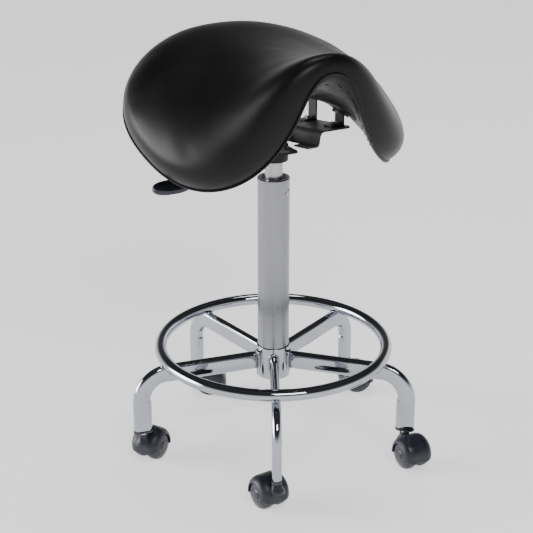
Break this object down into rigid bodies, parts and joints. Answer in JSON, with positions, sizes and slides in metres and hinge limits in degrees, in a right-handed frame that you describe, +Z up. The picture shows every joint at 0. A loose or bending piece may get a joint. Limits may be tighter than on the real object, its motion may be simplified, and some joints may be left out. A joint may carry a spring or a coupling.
{
  "type": "dentist stool",
  "caption": "Saddle-seat stool with a gas lift column, side lever, round foot ring and a castor base of bent chrome tube.",
  "frame": {"origin": "on the floor, on the axis of the column", "axes": "+Z up the column; -Y is the way the sitter faces; +X is the sitter's left, so the height lever is at -X"},
  "size_m": [0.488, 0.4536, 0.6914],
  "materials": {
    "chrome_tube": "polished chrome plating",
    "weld": "plated weld bead",
    "bright_steel": "turned steel",
    "gas_tube": "satin chrome",
    "black_steel": "black powder coat",
    "black_nylon": "moulded nylon",
    "tread": "polyurethane tread",
    "white_plastic": "acetal",
    "bumper_rubber": "soft rubber",
    "ply_shell": "black stained plywood",
    "seat_cover": "satin vinyl over foam"
  },
  "bodies": {
    "base": {"leg_1": "chrome_tube", "leg_plug_1": "black_nylon", "castor_1_stem": "bright_steel", "leg_2": "chrome_tube", "leg_plug_2": "black_nylon", "castor_2_stem": "bright_steel", "leg_3": "chrome_tube", "leg_plug_3": "black_nylon", "castor_3_stem": "bright_steel", "leg_4": "chrome_tube", "leg_plug_4": "black_nylon", "castor_4_stem": "bright_steel", "leg_5": "chrome_tube", "leg_plug_5": "black_nylon", "castor_5_stem": "bright_steel", "welds": "weld", "hub_sleeve": "chrome_tube", "foot_ring": "chrome_tube", "column_tube": "chrome_tube", "column_collar": "chrome_tube", "guide_bush": "black_nylon", "column_screws": "bright_steel", "thrust_bearing": "bright_steel"},
    "gas_rod": {"piston_rod": "bright_steel", "retaining_clip": "bright_steel", "bumper": "bumper_rubber", "piston": "white_plastic"},
    "carrier": {"gas_cylinder": "gas_tube", "rod_gland": "white_plastic", "socket_bracket": "black_steel", "carrier_pins": "bright_steel"},
    "release": {"release_pin": "bright_steel"},
    "lever": {"lever_rod": "black_steel", "lever_paddle": "black_nylon"},
    "seat": {"seat_plate": "black_steel", "tilt_nut": "bright_steel", "seat_brackets": "black_steel", "seat_bolts": "bright_steel", "seat_shell": "ply_shell", "seat_pad": "seat_cover"},
    "castor_1": {"castor_1_body": "black_nylon", "castor_1_axle": "bright_steel"},
    "wheel_1_left": {"castor_1_wheel_left": "tread"},
    "wheel_1_right": {"castor_1_wheel_right": "tread"},
    "castor_2": {"castor_2_body": "black_nylon", "castor_2_axle": "bright_steel"},
    "wheel_2_left": {"castor_2_wheel_left": "tread"},
    "wheel_2_right": {"castor_2_wheel_right": "tread"},
    "castor_3": {"castor_3_body": "black_nylon", "castor_3_axle": "bright_steel"},
    "wheel_3_left": {"castor_3_wheel_left": "tread"},
    "wheel_3_right": {"castor_3_wheel_right": "tread"},
    "castor_4": {"castor_4_body": "black_nylon", "castor_4_axle": "bright_steel"},
    "wheel_4_left": {"castor_4_wheel_left": "tread"},
    "wheel_4_right": {"castor_4_wheel_right": "tread"},
    "castor_5": {"castor_5_body": "black_nylon", "castor_5_axle": "bright_steel"},
    "wheel_5_left": {"castor_5_wheel_left": "tread"},
    "wheel_5_right": {"castor_5_wheel_right": "tread"}
  },
  "joints": [
    {"name": "seat_swivel", "type": "hinge", "parent": "base", "child": "gas_rod", "pos_m": [0, 0, 0.135], "axis": [0, 0, 1], "continuous": true},
    {"name": "seat_lift", "type": "slide", "parent": "gas_rod", "child": "carrier", "axis": [0, 0, 1], "range_m": [0, 0.19]},
    {"name": "seat_tilt", "type": "hinge", "parent": "carrier", "child": "seat", "pos_m": [0, 0.022, 0.52], "axis": [1, 0, 0], "range_deg": [0, 8]},
    {"name": "height_lever", "type": "hinge", "parent": "carrier", "child": "lever", "pos_m": [-0.026, 0, 0.5243], "axis": [0, 1, 0], "range_deg": [0, 5], "stiffness_Nm_per_rad": 2},
    {"name": "release_press", "type": "slide", "parent": "carrier", "child": "release", "axis": [0, 0, -1], "range_m": [0, 0.0024]},
    {"name": "castor_1_swivel", "type": "hinge", "parent": "base", "child": "castor_1", "pos_m": [-0.1001, -0.19647, 0.045], "axis": [0, 0, 1], "continuous": true},
    {"name": "wheel_1_left_spin", "type": "hinge", "parent": "castor_1", "child": "wheel_1_left", "pos_m": [-0.1024, -0.17459, 0.025], "axis": [-0.9945, -0.1045, 0], "continuous": true},
    {"name": "wheel_1_right_spin", "type": "hinge", "parent": "castor_1", "child": "wheel_1_right", "pos_m": [-0.1024, -0.17459, 0.025], "axis": [-0.9945, -0.1045, 0], "continuous": true},
    {"name": "castor_2_swivel", "type": "hinge", "parent": "base", "child": "castor_2", "pos_m": [0.15592, -0.15592, 0.045], "axis": [0, 0, 1], "continuous": true},
    {"name": "wheel_2_left_spin", "type": "hinge", "parent": "castor_2", "child": "wheel_2_left", "pos_m": [0.15592, -0.17792, 0.025], "axis": [1, 0, 0], "continuous": true},
    {"name": "wheel_2_right_spin", "type": "hinge", "parent": "castor_2", "child": "wheel_2_right", "pos_m": [0.15592, -0.17792, 0.025], "axis": [1, 0, 0], "continuous": true},
    {"name": "castor_3_swivel", "type": "hinge", "parent": "base", "child": "castor_3", "pos_m": [0.19647, 0.1001, 0.045], "axis": [0, 0, 1], "continuous": true},
    {"name": "wheel_3_left_spin", "type": "hinge", "parent": "castor_3", "child": "wheel_3_left", "pos_m": [0.21781, 0.09478, 0.025], "axis": [0.2419, 0.9703, 0], "continuous": true},
    {"name": "wheel_3_right_spin", "type": "hinge", "parent": "castor_3", "child": "wheel_3_right", "pos_m": [0.21781, 0.09478, 0.025], "axis": [0.2419, 0.9703, 0], "continuous": true},
    {"name": "castor_4_swivel", "type": "hinge", "parent": "base", "child": "castor_4", "pos_m": [-0.03449, 0.21779, 0.045], "axis": [0, 0, 1], "continuous": true},
    {"name": "wheel_4_left_spin", "type": "hinge", "parent": "castor_4", "child": "wheel_4_left", "pos_m": [-0.01507, 0.20746, 0.025], "axis": [0.4695, 0.8829, 0], "continuous": true},
    {"name": "wheel_4_right_spin", "type": "hinge", "parent": "castor_4", "child": "wheel_4_right", "pos_m": [-0.01507, 0.20746, 0.025], "axis": [0.4695, 0.8829, 0], "continuous": true},
    {"name": "castor_5_swivel", "type": "hinge", "parent": "base", "child": "castor_5", "pos_m": [-0.21779, 0.03449, 0.045], "axis": [0, 0, 1], "continuous": true},
    {"name": "wheel_5_left_spin", "type": "hinge", "parent": "castor_5", "child": "wheel_5_left", "pos_m": [-0.19934, 0.04648, 0.025], "axis": [-0.5446, 0.8387, 0], "continuous": true},
    {"name": "wheel_5_right_spin", "type": "hinge", "parent": "castor_5", "child": "wheel_5_right", "pos_m": [-0.19934, 0.04648, 0.025], "axis": [-0.5446, 0.8387, 0], "continuous": true}
  ],
  "couplings": [
    {"joint": "release_press", "follows": "height_lever", "m_per_rad": 0.026}
  ]
}
